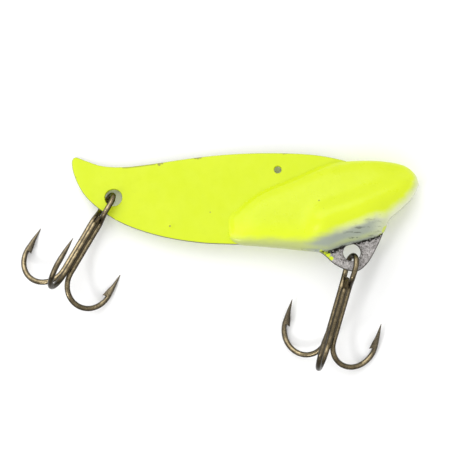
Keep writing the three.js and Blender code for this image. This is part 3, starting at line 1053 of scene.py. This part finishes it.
def seam_crack(n, x, z, rim, fade, off_nose):
    """Where the paint has cracked over the tab and along the nose's parting line."""
    off_plane = n.math("ABSOLUTE", z)
    reach = n.ramp(n.noise(1.6, 5, 0.7), *SEAM_REACH)
    crack = n.ramp(n.minus(rim, reach), *SEAM_SIDE)
    crack = n.times(crack, n.ramp(fade, *SEAM_IN_WHITE))
    over_tab = n.times(n.ramp(x, *SEAM_OVER_TAB_X), off_nose)
    at_nose = n.times(n.ramp(x, *SEAM_AT_NOSE_X), n.ramp(off_plane, *NOSE_SEAM_WIDTH))
    crack = n.times(crack, n.plus(n.larger(over_tab, at_nose), FAINT_SEAM), True)
    return n.times(crack, n.ramp(off_plane, *SEAM_WIDTH))


def lead_material():
    n = Nodes("lead_paint_worn")
    fade, rim = n.attribute("fade"), n.attribute("rim")
    x, _, z = n.place()
    # painted light: the chartreuse turns brighter on the lower slopes toward the white belly
    colour = n.mix(n.ramp(fade, *PAINTED_LIGHT_NEAR_BELLY), paint_base(n), CHARTREUSE_PAINTED_LIGHT)
    drift = n.times(n.minus(n.noise(0.45, stretch=DRIFT_STRETCH), 0.5), DRIFT)
    soft = n.plus(fade, drift)
    off_nose = n.ramp(x, *GREY_ENDS_X)
    off_ends = n.times(off_nose, n.ramp(x, *GREY_AND_SHADE_FROM_X))
    # grey on the belly: partly silver paint, partly painted shade where the slope faces down
    grey_and_shade = n.times(n.ramp(soft, *GREY_AND_SHADE_FADE), off_ends)
    pale = belly_paint(n, x, rim, off_nose, grey_and_shade)
    colour = n.mix(n.ramp(soft, *WHITE_FADE), colour, pale)
    speck = n.ramp(n.noise(2.9, 2), *HEAD_SPECKS)
    chip = n.larger(speck, n.times(n.spots(HEAD_CHIPS, 0.2), 0.7))
    colour = n.mix(chip, colour, CHIP_BROWN)
    crack = seam_crack(n, x, z, rim, fade, off_nose)
    colour = n.mix(crack, colour, CRACK_BLACK)
    n.put(colour, n.shader.inputs["Base Color"])
    n.put(n.ramp(n.noise(0.5), *HEAD_ROUGHNESS), n.shader.inputs["Roughness"])
    n.shader.inputs["Specular IOR Level"].default_value = PAINT_SPECULAR
    peel = n.bump(n.noise(1.1), 0.06, 0.5)
    n.put(n.bump(n.minus(1.0, crack), 0.06, 0.5, peel), n.shader.inputs["Normal"])
    return n.material


def bronze_material(name, light, dark, rough_low, rough_high):
    """Aged bronze lacquer with painted light: a painted highlight along the top of the wire and
    painted shade down its sides.
    """
    n = Nodes(name)
    tarnish = n.noise(0.9, 5, 0.65)
    grain = n.noise(7.0, 3, 0.6)
    painted_light_facing = n.plus(n.attribute("painted_light_facing"), n.times(n.minus(tarnish, 0.5), 0.5))
    # painted shade down the sides, painted light on top, then a painted highlight line
    colour = n.mix(n.ramp(painted_light_facing, *PAINTED_LIGHT_BY_FACING), dark, light)
    colour = n.mix(n.ramp(painted_light_facing, *PAINTED_HIGHLIGHT_BY_FACING), colour, BRONZE_PAINTED_HIGHLIGHT)
    colour = n.mix(n.ramp(n.noise(2.6, 4, 0.7), *SOOT), colour, BRONZE_SOOT)
    colour = n.mix(n.ramp(n.attribute("tip"), *TIP_DARK), colour, BRONZE_TIP)
    n.put(colour, n.shader.inputs["Base Color"])
    n.shader.inputs["Metallic"].default_value = 1.0
    cloudy = n.plus(n.times(tarnish, 0.6), n.times(grain, 0.4))
    n.put(n.ramp(cloudy, 0.3, 0.7, rough_low, rough_high), n.shader.inputs["Roughness"])
    worn = n.bump(n.noise(2.2, 5, 0.7), 0.05, 0.5)
    n.put(n.bump(grain, 0.01, 0.4, worn), n.shader.inputs["Normal"])
    return n.material


FLOOR_LOW = (0.93, 0.93, 0.93)
FLOOR_HIGH = (0.95, 0.95, 0.95)


def floor_material():
    n = Nodes("white_floor")
    shade = n.tree.nodes.new("ShaderNodeTexNoise")
    shade.inputs["Scale"].default_value = 6.0
    n.put(n.mix(shade.outputs["Fac"], FLOOR_LOW, FLOOR_HIGH), n.shader.inputs["Base Color"])
    n.shader.inputs["Roughness"].default_value = 0.9
    return n.material


# ---- making it ----

make_blade().data.materials.append(blade_material())
make_lead().data.materials.append(lead_material())
FINISHES = [
    bronze_material("aged_bronze", (0.23, 0.185, 0.11), (0.035, 0.027, 0.015), 0.18, 0.34),
    bronze_material("dark_bronze", (0.17, 0.135, 0.08), (0.028, 0.022, 0.012), 0.22, 0.4),
    bronze_material("braze_brass", (0.19, 0.145, 0.08), (0.05, 0.038, 0.02), 0.35, 0.6),
]
for count, (treble_name, treble_spec) in enumerate(TREBLES.items()):
    pieces = make_treble(treble_name, treble_spec, FIRST_WIRE_SEED + SEEDS_PER_TREBLE * count)
    for treble_piece, finish in zip(pieces, FINISHES):
        treble_piece.data.materials.append(finish)

# ---- floor, light and camera ----

FLOOR_HALF = 1.5
FLOOR_CORNERS = [(-1, -1), (1, -1), (1, 1), (-1, 1)]
floor_mesh = bpy.data.meshes.new("floor")
floor_mesh.from_pydata(
    [(FLOOR_HALF * x, FLOOR_HALF * y, 0) for x, y in FLOOR_CORNERS], [], [(0, 1, 2, 3)]
)
floor = bpy.data.objects.new("floor", floor_mesh)
bpy.context.scene.collection.objects.link(floor)
floor_mesh.materials.append(floor_material())


def area_light(name, place, size, power):
    """A round soft light that faces the lure."""
    data = bpy.data.lights.new(name, "AREA")
    data.shape = "DISK"
    data.size = size
    data.energy = power
    made = bpy.data.objects.new(name, data)
    made.location = place
    made.rotation_mode = "QUATERNION"
    made.rotation_quaternion = (-Vector(place)).to_track_quat("-Z", "Y")
    bpy.context.scene.collection.objects.link(made)


area_light("key", (-0.22, 0.32, 0.40), size=0.6, power=1.5)
area_light("fill", (-0.26, -0.27, 0.28), size=0.075, power=0.55)

WORLD_STRENGTH = 0.93
world = bpy.data.worlds.new("studio")
world.use_nodes = True
background = world.node_tree.nodes["Background"]
background.inputs["Color"].default_value = (1, 1, 1, 1)
background.inputs["Strength"].default_value = WORLD_STRENGTH
bpy.context.scene.world = world
bpy.context.scene.view_settings.view_transform = "Standard"

# straight above the lure, placed from the line tie in millimetres
CAMERA_FROM_LINE_TIE = Vector((-9.695, -10.091, 352.33))
CAMERA_LENS = 153.5
CAMERA_SENSOR = 36
camera_data = bpy.data.cameras.new("camera")
camera_data.sensor_width = CAMERA_SENSOR
camera_data.lens = CAMERA_LENS
camera_data.clip_start = 0.01
camera_data.clip_end = 10
camera = bpy.data.objects.new("camera", camera_data)
camera.location = LINE_TIE + CAMERA_FROM_LINE_TIE * MM
bpy.context.scene.collection.objects.link(camera)
bpy.context.scene.camera = camera
